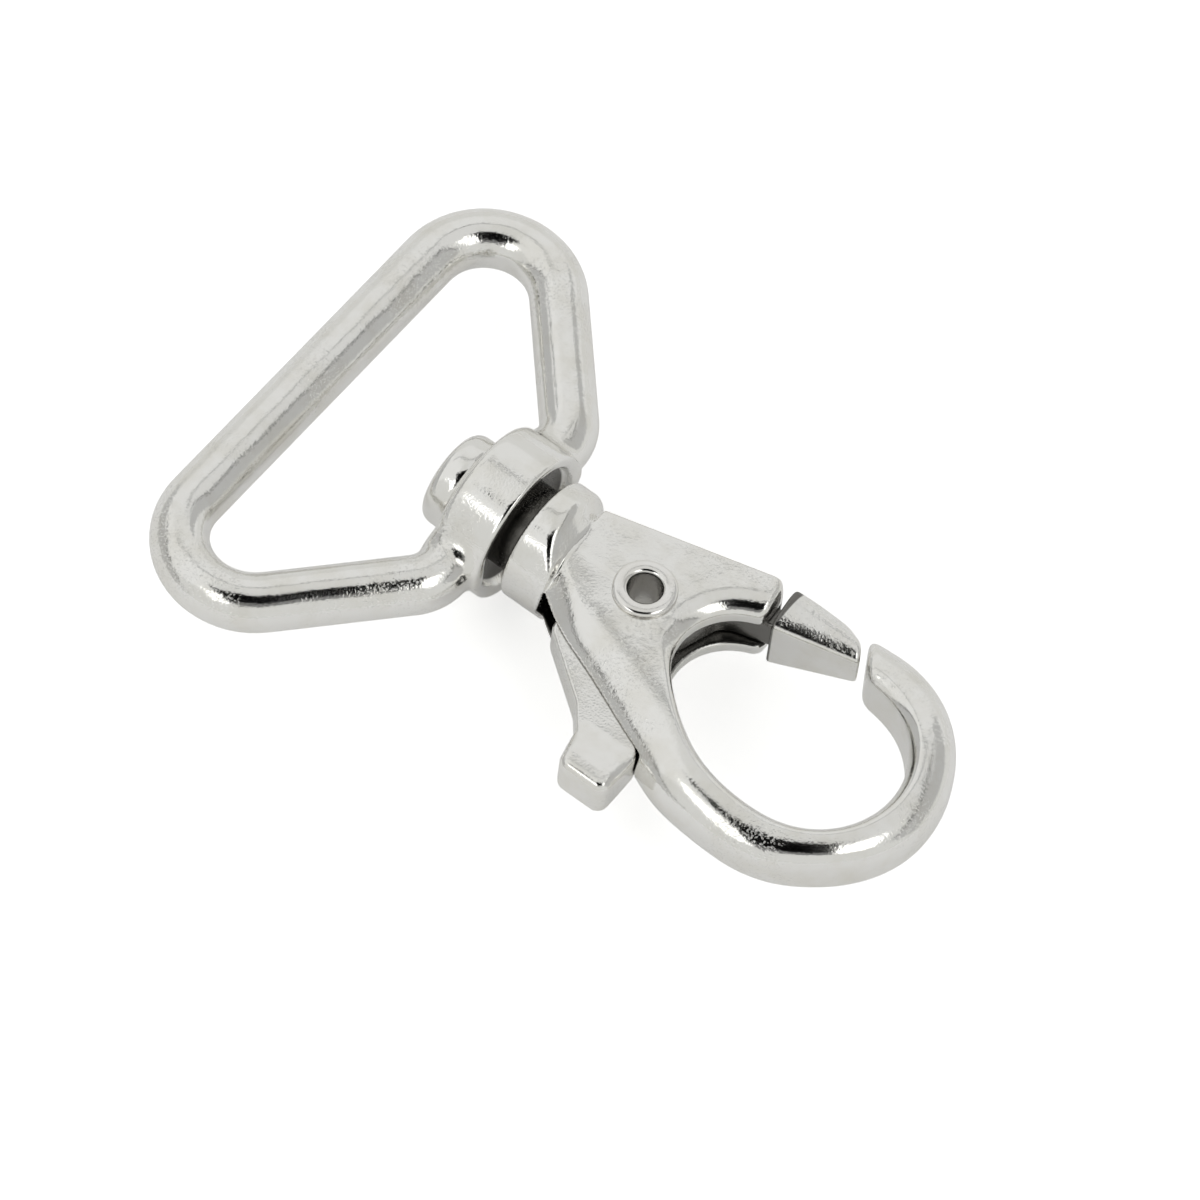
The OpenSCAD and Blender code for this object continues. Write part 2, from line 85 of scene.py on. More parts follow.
def facing_distance(x, y, angles, support):
    """Distance outside a convex plan outline (negative inside) and the angle it faces: the largest of
    p.dir(a) - support(a), read from the parabola through the best angle and its two neighbours."""
    values = np.stack([x * ray(a)[0] + y * ray(a)[1] - s for a, s in zip(angles, support)]).astype(np.float32)
    n = len(angles)
    i = values.argmax(0)
    low, mid, high = (np.take_along_axis(values, ((i + d) % n)[None], 0)[0] for d in (-1, 0, 1))
    shift = (high - low) / np.maximum(2 * (2 * mid - low - high), 1e-4)
    shift = np.clip(shift, -0.5, 0.5)
    return mid + (high - low) * shift / 4, angles[i] + shift * (angles[1] - angles[0])


def polygon_distance(x, y, corners):
    """Signed distance to a closed polygon: nearest edge, negative where the winding is odd."""
    pts = np.asarray(corners, float)
    best = np.full(np.broadcast(x, y).shape, 1e9, np.float32)
    odd = np.zeros(best.shape, bool)
    for (ax, ay), (bx, by) in zip(pts, np.roll(pts, -1, axis=0)):
        ex, ey = bx - ax, by - ay
        t = np.clip(((x - ax) * ex + (y - ay) * ey) / (ex * ex + ey * ey), 0, 1)
        best = np.minimum(best, np.hypot(x - ax - t * ex, y - ay - t * ey))
        crosses = (y < ay) != (y < by)
        with np.errstate(divide="ignore", invalid="ignore"):
            at = ax + (y - ay) * ex / (ey if ey else 1e-9)
        odd ^= crosses & (x < at)
    return np.where(odd, -best, best)


def path_distance(x, y, pts):
    """Distance in plan to an open path of points."""
    best = np.full(np.broadcast(x, y).shape, 1e9, np.float32)
    for (ax, ay), (bx, by) in zip(pts, pts[1:]):
        ex, ey = bx - ax, by - ay
        t = np.clip(((x - ax) * ex + (y - ay) * ey) / (ex * ex + ey * ey), 0, 1)
        best = np.minimum(best, np.hypot(x - ax - t * ex, y - ay - t * ey))
    return best


def disc(x, r, x0, x1, radius, edge):
    """A turned disc about the X axis from x0 to x1, its rims rounded over edge."""
    return smax(np.abs(x - (x0 + x1) / 2) - (x1 - x0) / 2, r - radius, edge)


# ---------------------------------------------------------------- the hook body
BACK, BACK_R = np.array([9.65, -0.75]), 5.1
BOW, BOW_R = np.array([18.1, -1.9]), 7.25
MID, MID_R = BACK + (BOW - BACK) * 0.46 + [0, -0.72], BACK_R + (BOW_R - BACK_R) * 0.7
NEAR_KNEE, NEAR_OUT = np.array([-4.3, -6.7]), ray(-111.4)
TIP_A, TIP_REACH = 31.0, 17.7
JAW_CORNER, JAW_LIP = np.array([8.0, 8.4]), np.array([8.55, 4.23])
SLOT = [[-6.4, -14], [-6.4, -2.6], [-3.8, 1.4], [-3.55, 2.3], [-2.43, 3.75], [-0.83, 4.07],
        [10.2, 7.32], [11.8, 8.4], [11.8, -2], [5.85, -4.4], [6.05, -6], [8.22, -11.3], [8.22, -14]]


CIRCLES = ((BACK, BACK_R), (MID, MID_R), (BOW, BOW_R))
HEART = np.array([14.0, -1.3])
SPREAD = np.arange(-24, 25, 3.0)
BELL = np.exp(-0.5 * (SPREAD / 9.0) ** 2)
BELL = BELL / BELL.sum()


def support(a):
    """Support of the opening at angle a: that of the hull of three circles, averaged over a bell curve of
    neighbouring angles, which turns its straight runs into long arcs."""
    hull = [max((c - HEART) @ ray(a + d) + r for c, r in CIRCLES) for d in SPREAD]
    return BELL @ hull + HEART @ ray(a)


def opening_point(a):
    """Point of the opening's wall that faces direction a: the support along a, its slope across it."""
    slope = (support(a + 1) - support(a - 1)) / np.radians(2)
    return support(a) * ray(a) + slope * ray(a + 90)


def arm_width(a):
    """Plan width of the arm at angle a; up to 236 degrees it ends at the plate's near line."""
    free = eased(np.float32(a), [(245, 4.4), (270, 3.9), (312, 3.25), (360, 3.6), (440, 4.0), (462, 3.4)])
    if a > 262:
        return float(free)
    line = (NEAR_KNEE - opening_point(a)) @ NEAR_OUT / (ray(a) @ NEAR_OUT)
    part = eased(np.float32(a), [(232, 0.0), (262, 1.0)])
    return float(line + (free - line) * part)


OUTER = [opening_point(a) + arm_width(a) * ray(a) for a in np.arange(209, 462.5, 1.5)]
OUTER += [JAW_CORNER, np.array([NECK_X - 4, 3.2]), np.array([NECK_X - 4, -2.1])]
KNEE_ENDS = NEAR_KNEE + [-1.8, 1.27], NEAR_KNEE + [2.05, -0.8]
OUTER += [KNEE_ENDS[0] * (1 - t) ** 2 + NEAR_KNEE * 2 * t * (1 - t) + KNEE_ENDS[1] * t * t for t in np.linspace(0, 1, 9)]
ALL_ANGLES = np.arange(0, 360, 3.0)
OPEN_SUPPORT = [support(a) for a in ALL_ANGLES]


def hook_field(x, y, z):
    """Plate and bow: a slab whose half height falls off as a super-ellipse to the outline, and to the
    opening's edge over the lip or inner wall, less the mouth, slot and rivet hole; then the turned neck."""
    az = np.abs(z)
    d_in, facing = facing_distance(x, y, ALL_ANGLES, OPEN_SUPPORT)
    d_out = polygon_distance(x, y, OUTER)
    a = np.where(facing < 103, facing + 360, facing)
    crest = eased(a, [(230, 3.6), (285, 3.05), (400, 3.05), (462, 2.6)])
    roll = eased(a, [(150, 2.1), (188, 1.9), (226, 0.6), (276, 1.2), (440, 1.2), (462, 1.0)])
    depth = crest - eased(a, [(188, 2.45), (226, 3.1), (266, 1.75), (440, 1.75), (462, 1.4)])
    power = eased(a, [(188, 1.7), (230, 1.25), (276, 1.4)])
    far = (a < 209) & (y > -0.5)
    width = np.where(far, 0.6, eased(a, [(215, 2.8), (270, 2.4), (312, 1.7), (360, 2.1), (440, 2.7)]))
    round_p = np.where(far, 1.7, eased(a, [(215, 1.35), (245, 1.7), (290, 3.4)]))
    u = np.maximum(1 + d_out / width, 0)
    body = (pnorm(u, az / crest, round_p) - 1) * np.minimum(crest, width + 1)
    start = np.where(far, 0.3, eased(a, [(240, 2.1), (275, 1.8), (312, 1.25), (360, 1.4), (440, 1.0)]))
    slope = 0.857 * (az - crest) + 0.515 * (d_out + start)
    body = smax(body, slope, np.where(far, 0.3, 1.5))
    edge = np.maximum(1 - d_in / roll, 0)
    over = np.maximum(az - crest + depth, 0) / depth
    lip = (pnorm(edge, over, power) - 1) * np.minimum(roll, depth)
    body = smax(body, lip, 0.2)
    body = smax(body, -d_in, 0.16)
    jaw_n = np.array([JAW_CORNER[1] - JAW_LIP[1], JAW_LIP[0] - JAW_CORNER[0]])
    jaw_n = jaw_n / np.hypot(*jaw_n)
    jaw = jaw_n @ JAW_LIP - (x * jaw_n[0] + y * jaw_n[1])
    tip_n = ray(TIP_A)
    tip = x * tip_n[0] + y * tip_n[1] - TIP_REACH
    mouth = np.maximum(np.maximum(jaw, tip), 1.5 - y)
    body = smax(body, -mouth, 0.8)
    body = smax(body, np.where(x < 10, 0.551 * x + 0.834 * y - 10.85, -9), 0.9)
    body = smax(body, NECK_X - 0.05 - x, 0.15)
    r = np.hypot(y - AXIS_Y, z)
    front = (x - NECK_X + 0.9 * (np.hypot(np.maximum(y - AXIS_Y, 0), z) - 3.7)) * 0.743
    neck = smax(disc(x, r, NECK_BACK, NECK_X + 0.4, 5.2, 0.25), front, 0.4)
    body = smin(body, neck, 0.22)
    slot = smax(polygon_distance(x, y, SLOT), az - SLOT_Z, 0.1)
    body = smax(body, -slot, 0.16)
    hole = np.hypot(x, y) - 1.82
    body = smax(body, -hole, 0.1)
    shank = disc(x, r, COLLAR_BACK - 0.6, NECK_BACK + 0.5, 2.7, 0.1)
    thrust = disc(x, r, -13.15, NECK_BACK + 0.5, 3.7, 0.3)
    head = disc(x, r, COLLAR_BACK - 2.95, COLLAR_BACK - 0.15, 4.0, 1.1)
    shank = np.minimum(smin(shank, head, 0.15), smin(shank, thrust, 0.2))
    return smin(body, shank, 0.25)


# ---------------------------------------------------------------- the lever
LEVER = [[-4.3, -6.1, 1.3], [1.4, -10.3, 2.5], [3.1, -12.4, 1.5], [3.8, -15.6, 0.9], [8.1, -15.6, 0.9],
         [8.1, -11.4, 1.5], [5.35, -5.4, 2], [3.55, -1, 1.5], [5.1, 3.8, 2], [10.2, 5.3, 0], [10.2, 7.2, 0],
         [-0.83, 3.95, 1.5], [-3.7, 2, 1.6]]


def rounded(corners):
    """A polygon with each corner (x, y, radius) replaced by its tangent arc."""
    out, n = [], len(corners)
    for i, (x, y, r) in enumerate(corners):
        q = np.array([x, y])
        if not r:
            out.append(q)
            continue
        u, v = [np.array(corners[j % n][:2]) - q for j in (i - 1, i + 1)]
        u, v = u / np.hypot(*u), v / np.hypot(*v)
        half = np.arccos(np.clip(u @ v, -1, 1)) / 2
        c = q + (u + v) / np.hypot(*(u + v)) * r / np.sin(half)
        a0 = np.arctan2(*(q + u * r / np.tan(half) - c)[::-1])
        a1 = np.arctan2(*(q + v * r / np.tan(half) - c)[::-1])
        sweep = (a1 - a0 + np.pi) % (2 * np.pi) - np.pi
        out += [c + r * np.array([np.cos(a0 + sweep * t), np.sin(a0 + sweep * t)]) for t in np.linspace(0, 1, 8)]
    return out


LEVER_OUTLINE = rounded(LEVER)
PAD = rounded([[2.6, -11.0, 0.6], [3.75, -15.6, 1.0], [8.1, -15.6, 0.9], [8.1, -11.0, 0.6]])


def plane(p, q, s):
    """Field of the plane through three points, in the order that makes its outside positive."""
    p, q, s = (np.array(t, float) for t in (p, q, s))
    n = np.cross(q - p, s - p)
    n = n / np.linalg.norm(n)
    return lambda x, y, z: (x - p[0]) * n[0] + (y - p[1]) * n[1] + (z - p[2]) * n[2]


GATE_N, GATE_T = ray(TIP_A), ray(TIP_A + 90)
GATE_TIP = GATE_N * 17.15 + GATE_T * -2.55
GATE_FACES = [
    plane([9.35, 5.6, 3.1], [15.78, 7.03, 2.0], [9.1, 7.4, 3.1]),
    plane([9.09, 4.13, 2.62], [16.04, 6.56, 1.45], [8.83, 4.99, 3.07]),
    plane([9.1, 7.6, 3.1], [15.44, 7.8, 2.0], [9.0, 8.45, 2.35])]
GATE_WALLS = [[(16.04, 6.56), (9.09, 4.13)], [(8.6, 8.2), (10.7, 8.75)], [(10.7, 8.75), (13.4, 8.9)],
              [(13.4, 8.9), (15.16, 8.06)], [(9.09, 4.13), (8.6, 8.2)]]


def gate_field(x, y, z):
    """The gate: a wedge of flat facets, alike above and below, whose edges are rounded."""
    az = np.abs(z)
    f = GATE_FACES[0](x, y, az)
    for face in GATE_FACES[1:]:
        f = smax(f, face(x, y, az), 0.5)
    for (ax, ay), (bx, by) in GATE_WALLS:
        n = np.array([ay - by, bx - ax])
        n = n / np.hypot(*n)
        f = smax(f, (x - ax) * n[0] + (y - ay) * n[1], 0.35)
    return smax(f, x * GATE_N[0] + y * GATE_N[1] - 17.15, 0.35)


def lever_field(x, y, z):
    """The lever: a rounded outline 3 mm thick, the thicker thumb pad and the gate."""
    az = np.abs(z)
    arm = smax(polygon_distance(x, y, LEVER_OUTLINE), az - 1.5, 0.35)
    pad_d = polygon_distance(x, y, PAD)
    top = np.minimum(1.5 + 0.17 * np.maximum(-11.4 - y, 0), 1.95)
    pad = smax(smax(pad_d, az - top, 0.3), (pad_d + az - top + 0.35) * 0.7071, 0.3)
    f = smin(arm, pad, 0.25)
    f = smin(f, gate_field(x, y, z), 0.2)
    return smax(f, 1.86 - np.hypot(x, y), 0.1)


# ---------------------------------------------------------------- the eye
BAR_R = 2.35
MID_X = -14.15
BASE_X = MID_X - 18.6
CORNER, CORNER_R = np.array([BASE_X + 5.7, 14.65]), 5.7
SHOULDER, SHOULDER_R = np.array([MID_X, 8.8]), 3.6


def eye_path():
    """Middle line of the bar: stub, shoulder bend, tangent line, corner bend, base, then mirrored."""
    to = CORNER - SHOULDER
    side = np.degrees(np.arctan2(to[1], to[0]) - np.arcsin(CORNER_R / np.hypot(*to)))
    turn = side - 90
    run = SHOULDER_R * np.tan(np.radians(turn / 2))
    bend = SHOULDER + [-SHOULDER_R, -run]
    pts = [np.array([MID_X, 5.9])]
    pts += [bend + SHOULDER_R * ray(a) for a in np.linspace(0, turn, 12)]
    pts += [CORNER + CORNER_R * ray(a) for a in np.linspace(side - 90, 180, 24)]
    return pts + [p * [1, -1] for p in pts[::-1]]


EYE_PATH = eye_path()


def eye_field(x, y, z):
    """Round bar along its path, joined softly to the collar, less the dish and the bore.
    Here y is measured from the swivel axis."""
    bar = np.hypot(path_distance(x, y, EYE_PATH), z) - BAR_R
    r = np.hypot(y, z)
    collar = smax(disc(x, r, COLLAR_BACK, COLLAR_FRONT + 1, 6.55, 0.8), x - COLLAR_FRONT, 0.25)
    f = smin(bar, collar, 1.1)
    dish = pnorm(r / 5.55, np.maximum(COLLAR_FRONT + 0.2 - x, 0) / 1.7, 3.0) - 1
    f = smax(f, -dish * 1.6, 0.25)
    return smax(f, np.where(x > COLLAR_BACK - 1, 2.78 - r, -9), 0.12)


# ---------------------------------------------------------------- fields to meshes
def nets(field, lo, hi, step):
    """Surface net of a field: one vertex in each grid cell that the surface crosses, at the mean of the
    crossings of its edges, pulled twice along the slope onto the surface, and one quad for each crossed edge."""
    axes = [np.arange(a, b + step, step, dtype=np.float32) for a, b in zip(lo, hi)]
    x, y, z = axes[0][:, None, None], axes[1][None, :, None], axes[2][None, None, :]
    f = np.asarray(field(x, y, z), np.float32)
    inside = f < 0
    cells = tuple(n - 1 for n in f.shape)
    total = np.zeros(cells + (3,), np.float32)
    count = np.zeros(cells, np.float32)
    quads = []
    for axis in range(3):
        lo_s = [slice(None)] * 3
        hi_s = [slice(None)] * 3
        lo_s[axis], hi_s[axis] = slice(None, -1), slice(1, None)
        i, j, k = np.nonzero(inside[tuple(lo_s)] != inside[tuple(hi_s)])
        at = np.stack([i, j, k], 1)
        up = at.copy()
        up[:, axis] += 1
        f0, f1 = f[i, j, k], f[tuple(up.T)]
        place = at.astype(np.float32)
        place[:, axis] += f0 / (f0 - f1)
        b, c = [t for t in range(3) if t != axis]
        ring = []
        for db, dc in ((0, 0), (-1, 0), (-1, -1), (0, -1)):
            cell = at.copy()
            cell[:, b] += db
            cell[:, c] += dc
            ring.append(cell)
        ring = np.stack(ring, 1)
        ok = ((ring >= 0) & (ring < np.array(cells))).all(axis=(1, 2))
        ring, place, flip = ring[ok], place[ok], inside[i, j, k][ok] ^ (axis == 1)
        for q in range(4):
            where = tuple(ring[:, q].T)
            np.add.at(total, where, place)
            np.add.at(count, where, 1)
        ring[flip] = ring[flip][:, ::-1]
        quads.append(ring)
    number = np.full(cells, -1, np.int64)
    used = count > 0
    number[used] = np.arange(used.sum())
    points = total[used] / count[used][:, None] * step + np.array(lo, np.float32)
    quads = number[tuple(np.moveaxis(np.concatenate(quads), -1, 0))]
    h = step * 0.25
    for _ in range(2):
        px, py, pz = points.T
        f0 = field(px, py, pz)
        g = np.stack([field(px + h, py, pz) - f0, field(px, py + h, pz) - f0, field(px, py, pz + h) - f0], 1) / h
        move = g * (f0 / np.maximum((g * g).sum(1), 0.3))[:, None]
        points = points - np.clip(move, -step * 0.4, step * 0.4)
    return points, quads


def mesh_object(name, points, faces, body, offset=PIVOT, smooth=2):
    """Object at the origin whose vertices are the points, in millimetres from the offset, lightly smoothed."""
    mesh = bpy.data.meshes.new(name)
    co = ((np.asarray(points, float) + offset) / 1000).astype(np.float32)
    faces = np.asarray(faces, np.int32)
    mesh.vertices.add(len(co))
    mesh.vertices.foreach_set("co", co.ravel())
    mesh.loops.add(faces.size)
    mesh.loops.foreach_set("vertex_index", faces.ravel())
    mesh.polygons.add(len(faces))
    mesh.polygons.foreach_set("loop_start", np.arange(0, faces.size, faces.shape[1], dtype=np.int32))
    mesh.polygons.foreach_set("use_smooth", np.ones(len(faces), bool))
    mesh.update(calc_edges=True)
    mesh.validate()
    obj = bpy.data.objects.new(name, mesh)
    bpy.context.scene.collection.objects.link(obj)
    soften = obj.modifiers.new("soften", "SMOOTH")
    soften.factor, soften.iterations = 0.5, smooth
    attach(obj, body)
    return obj


STEP = 0.162
hook = mesh_object("hook_casting", *nets(hook_field, (-19.9, -14.2, -5.6), (29.5, 9.6, 5.6), STEP), "hook")
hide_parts("hook_body")
lever = mesh_object("lever_casting", *nets(lever_field, (-5.0, -16.2, -3.5), (17.0, 9.5, 3.5), STEP * 0.67), "lever")
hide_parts("trigger_lever")
eye = mesh_object("eye_casting", *nets(eye_field, (-35.6, -23.1, -6.9), (-11.0, 23.1, 6.9), STEP), "eye",
                  PIVOT + [0, AXIS_Y, 0])
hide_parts("eye_frame")


def lathe(profile, segments):
    """Points and quads of a closed (radius, height) profile turned about the Z axis."""
    profile = np.asarray(profile, float)
    turn = np.linspace(0, 2 * np.pi, segments, endpoint=False)
    pts = np.stack([np.outer(np.cos(turn), profile[:, 0]), np.outer(np.sin(turn), profile[:, 0]),
                    np.broadcast_to(profile[:, 1], (segments, len(profile)))], -1).reshape(-1, 3)
    n = len(profile)
    i, k = np.meshgrid(np.arange(segments), np.arange(n), indexing="ij")
    j, m = (i + 1) % segments, (k + 1) % n
    return pts, np.stack([i * n + k, j * n + k, j * n + m, i * n + m], -1).reshape(-1, 4)


def rivet_profile():
    """Tube wall and two rolled rims: each rim's section is a half super-ellipse from the hole to its edge."""
    t = np.linspace(0, np.pi, 25)
    mid, half = (1.38 + 2.58) / 2, (2.58 - 1.38) / 2
    r = mid + half * np.sign(np.cos(t)) * np.abs(np.cos(t)) ** 0.75
    z = PLATE_Z + 0.03 + 0.43 * np.sin(t) ** 0.8
    top = list(zip(r, z))
    barrel = [(1.8, PLATE_Z - 0.1), (1.8, -PLATE_Z + 0.1)]
    low = [(a, -b) for a, b in top[::-1]]
    return barrel[::-1] + [(2.5, PLATE_Z)] + top + [(1.375, PLATE_Z - 0.15), (1.375, -PLATE_Z + 0.15)] + low + [(2.5, -PLATE_Z)]


rivet = mesh_object("rolled_rivet", *lathe(rivet_profile(), 96), "hook", smooth=0)
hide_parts("pivot_rivet")


# ---------------------------------------------------------------- shader maths
class Wire:
    """A shader value that + - * / and functions can be used on."""

    def __init__(self, tree, socket):
        self.tree, self.socket = tree, socket

    def _math(self, kind, *others, clamp=False):
        node = self.tree.nodes.new("ShaderNodeMath")
        node.operation, node.use_clamp = kind, clamp
        for i, value in enumerate((self,) + others):
            if isinstance(value, Wire):
                self.tree.links.new(value.socket, node.inputs[i])
            else:
                node.inputs[i].default_value = value
        return Wire(self.tree, node.outputs[0])

    def __add__(self, o): return self._math("ADD", o)
    __radd__ = __add__
    def __sub__(self, o): return self._math("SUBTRACT", o)
    def __rsub__(self, o): return self * -1.0 + o
    def __mul__(self, o): return self._math("MULTIPLY", o)
    __rmul__ = __mul__
    def __pow__(self, o): return self._math("POWER", o)
    def clamp(self): return self._math("ADD", 0.0, clamp=True)
    def over(self, limit, width): return ((self - limit) * (1 / width)).clamp()


def noise(tree, where, scale, detail=2.0, rough=0.5, distort=0.0):
    """Noise of Object coordinates, in cells per metre."""
    node = tree.nodes.new("ShaderNodeTexNoise")
    node.inputs["Scale"].default_value = scale
    node.inputs["Detail"].default_value = detail
    node.inputs["Roughness"].default_value = rough
    node.inputs["Distortion"].default_value = distort
    tree.links.new(where, node.inputs["Vector"])
    return Wire(tree, node.outputs["Fac"])


def recess(tree, where):
    """Share of painted shade in the recesses, from Object coordinates: the ring between the dish of the collar and
    the neck, and the slot between the cheeks behind the opening and beside the neck."""
    parts = tree.nodes.new("ShaderNodeSeparateXYZ")
    tree.links.new(where, parts.inputs[0])
    x, y, z = [Wire(tree, parts.outputs[i]) * 1000.0 for i in range(3)]
    x, y, z = x - float(PIVOT[0]), y, z - float(PIVOT[2])
    r2 = y * y + z * z
    # painted shade: the ring between the dish of the collar and the neck is darkened as if in shade
    ring = (x * -1.0).over(-NECK_BACK + 0.02, 0.1) * x.over(COLLAR_FRONT - 1.6, 0.1)
    ring = ring * (1.0 - r2.over(5.15**2, 1.2)) * 0.93
    near = 1.0 - y.over(-5.5, 0.1)
    # painted shade in the slot between the cheeks; set by height and x alone, it also darkens the plate's outer walls
    # in that band
    inner = (1.0 - (z * z).over((SLOT_Z + 0.02) ** 2, 0.15)) * x.over(-6.6, 0.3)
    inner = inner * (1.0 - x.over(10.4, 0.3)) * (1.0 - x.over(8.15, 0.1) * near)
    return ring, inner


def nickel(name, base, rough, grain=1.0, shift=0.0, painted_shade_mask=None):
    """Bright nickel over a casting: long shallow waves and a fine orange peel in the bump, small
    pimples and pits scattered by two noises, and roughness and tint that drift a little. The last
    function gives a mask of painted shade, where the colour is darkened towards near black and the
    roughness raised."""
    mat = bpy.data.materials.new(name)
    mat.use_nodes = True
    tree = mat.node_tree
    shader = tree.nodes["Principled BSDF"]
    shader.inputs["Metallic"].default_value = 1.0
    coords = tree.nodes.new("ShaderNodeTexCoord")
    move = tree.nodes.new("ShaderNodeVectorMath")
    move.operation = "ADD"
    move.inputs[1].default_value = (shift, shift * 0.7, -shift)
    tree.links.new(coords.outputs["Object"], move.inputs[0])
    p = move.outputs[0]
    wave = noise(tree, p, 230, 1.0)
    peel = noise(tree, p, 1300, 1.0)
    fine = noise(tree, p, 5200, 1.0)
    field = noise(tree, p, 150, 2.0)
    patch = field.over(0.49, 0.1)
    pimple = fine.over(0.58, 0.06) * patch
    height = wave * 0.6 + peel * (patch * 0.12 + 0.05) * grain + fine * (0.075 * grain)
    height = height + pimple * (0.10 * grain)
    bump = tree.nodes.new("ShaderNodeBump")
    bump.inputs["Strength"].default_value = 1.0
    bump.inputs["Distance"].default_value = 0.00012
    tree.links.new(height.socket, bump.inputs["Height"])
    tree.links.new(bump.outputs["Normal"], shader.inputs["Normal"])
    haze = noise(tree, p, 330, 3.0, 0.6)
    roughness = haze * 0.10 + peel * 0.05 + pimple * 0.12 + (rough - 0.06)
    # mask of painted shade in recesses; it raises the roughness here and darkens the colour below
    shade_share = painted_shade_mask(tree, coords.outputs["Object"]) if painted_shade_mask else None
    if shade_share:
        roughness = roughness + shade_share * 0.12
    tree.links.new(roughness.socket, shader.inputs["Roughness"])
    mix = tree.nodes.new("ShaderNodeMix")
    mix.data_type = "RGBA"
    mix.inputs["A"].default_value = (*base, 1)
    mix.inputs["B"].default_value = (base[0] * 0.93, base[1] * 0.92, base[2] * 0.89, 1)
    tree.links.new(haze.over(0.42, 0.3).socket, mix.inputs["Factor"])
    color = mix.outputs["Result"]
    if shade_share:
        # painted shade: the colour is mixed towards near black (0.07) by the mask
        shade_mix = tree.nodes.new("ShaderNodeMix")
        shade_mix.data_type = "RGBA"
        shade_mix.inputs["B"].default_value = (0.07, 0.066, 0.06, 1)
        tree.links.new(color, shade_mix.inputs["A"])
        tree.links.new(shade_share.socket, shade_mix.inputs["Factor"])
        color = shade_mix.outputs["Result"]
    tree.links.new(color, shader.inputs["Base Color"])
    return mat


def ring_painted_shade(tree, where):
    """Painted shade in the ring between the dish of the collar and the neck."""
    return recess(tree, where)[0]


def lever_painted_shade(tree, where):
    """Painted shade on the part of the lever that shows through the back of the opening."""
    parts = tree.nodes.new("ShaderNodeSeparateXYZ")
    tree.links.new(where, parts.inputs[0])
    x, y, z = [Wire(tree, parts.outputs[i]) * 1000.0 for i in range(3)]
    x, y = x - float(PIVOT[0]), y - float(PIVOT[1])
    return x.over(2.0, 0.4) * (1.0 - x.over(9.3, 0.1)) * y.over(-2.5, 1.0) * 0.85


def rivet_bore_painted_shade(tree, where):
    """Painted shade inside the rivet's hole: its wall is made darker and rougher."""
    parts = tree.nodes.new("ShaderNodeSeparateXYZ")
    tree.links.new(where, parts.inputs[0])
    x, y, z = [Wire(tree, parts.outputs[i]) * 1000.0 for i in range(3)]
    x, y = x - float(PIVOT[0]), y - float(PIVOT[1])
    return (1.0 - (x * x + y * y).over(1.44**2, 0.1)) * 0.35


def hook_painted_shade(tree, where):
    """Painted shade in that ring and in the slot for the lever."""
    ring, inner = recess(tree, where)
    return (ring + inner * 0.8).clamp()


PLATE = (0.86, 0.855, 0.835)
# hook, eye, lever and rivet get masks of painted shade in their recesses; the spring has none
body_nickel = nickel("hook_nickel", PLATE, 0.11, grain=0.75, shift=0.07, painted_shade_mask=hook_painted_shade)
eye_nickel = nickel("eye_nickel", PLATE, 0.11, shift=0.13, painted_shade_mask=ring_painted_shade)
lever_nickel = nickel("lever_nickel", PLATE, 0.12, shift=0.29, painted_shade_mask=lever_painted_shade)
rivet_nickel = nickel("rivet_nickel", (0.86, 0.85, 0.83), 0.12, grain=0.4, shift=0.41, painted_shade_mask=rivet_bore_painted_shade)
wire_steel = nickel("spring_steel", (0.55, 0.55, 0.55), 0.28, grain=0.3, shift=0.53)
for obj, mat, slot in ((hook, body_nickel, "bright_nickel"), (eye, eye_nickel, "bright_nickel"),
                       (lever, lever_nickel, "lever_nickel"), (rivet, rivet_nickel, "rivet_nickel")):
    obj.data.materials.append(mat)
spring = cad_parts["return_spring"]
spring.data.materials.clear()
spring.data.materials.append(wire_steel)

# ---------------------------------------------------------------- the studio
scene = bpy.context.scene
scene.view_settings.view_transform = "Standard"
scene.view_settings.look = "None"


def emission(name, color, strength):
    """A plain emission material."""
    mat = bpy.data.materials.new(name)
    mat.use_nodes = True
    tree = mat.node_tree
    tree.nodes.remove(tree.nodes["Principled BSDF"])
    node = tree.nodes.new("ShaderNodeEmission")
    node.inputs["Color"].default_value = (*color, 1)
    node.inputs["Strength"].default_value = strength
    tree.links.new(node.outputs[0], tree.nodes["Material Output"].inputs["Surface"])
    return mat


def card(name, centre, facing, size, mat, camera=False):
    """A flat card of the studio, facing a point; cards other than the floor aren't seen by the camera."""
    w, h = size[0] / 2, size[1] / 2
    mesh = bpy.data.meshes.new(name)
    mesh.from_pydata([(-w, -h, 0), (w, -h, 0), (w, h, 0), (-w, h, 0)], [], [(0, 1, 2, 3)])
    obj = bpy.data.objects.new(name, mesh)
    scene.collection.objects.link(obj)
    obj.matrix_world = Matrix.LocRotScale(
        Vector(centre), (Vector(facing) - Vector(centre)).to_track_quat("Z", "Y"), None)
    mesh.materials.append(mat)
    obj.visible_camera = camera
    return obj


world = bpy.data.worlds.new("studio")
scene.world = world
world.use_nodes = True
tree = world.node_tree
back = tree.nodes["Background"]
back.inputs["Strength"].default_value = 1.0
path = tree.nodes.new("ShaderNodeLightPath")
tint = tree.nodes.new("ShaderNodeMix")
tint.data_type = "RGBA"
tint.inputs["A"].default_value = (0.72, 0.72, 0.70, 1)
tint.inputs["B"].default_value = (1, 1, 1, 1)
tree.links.new(path.outputs["Is Camera Ray"], tint.inputs["Factor"])
tree.links.new(tint.outputs["Result"], back.inputs["Color"])

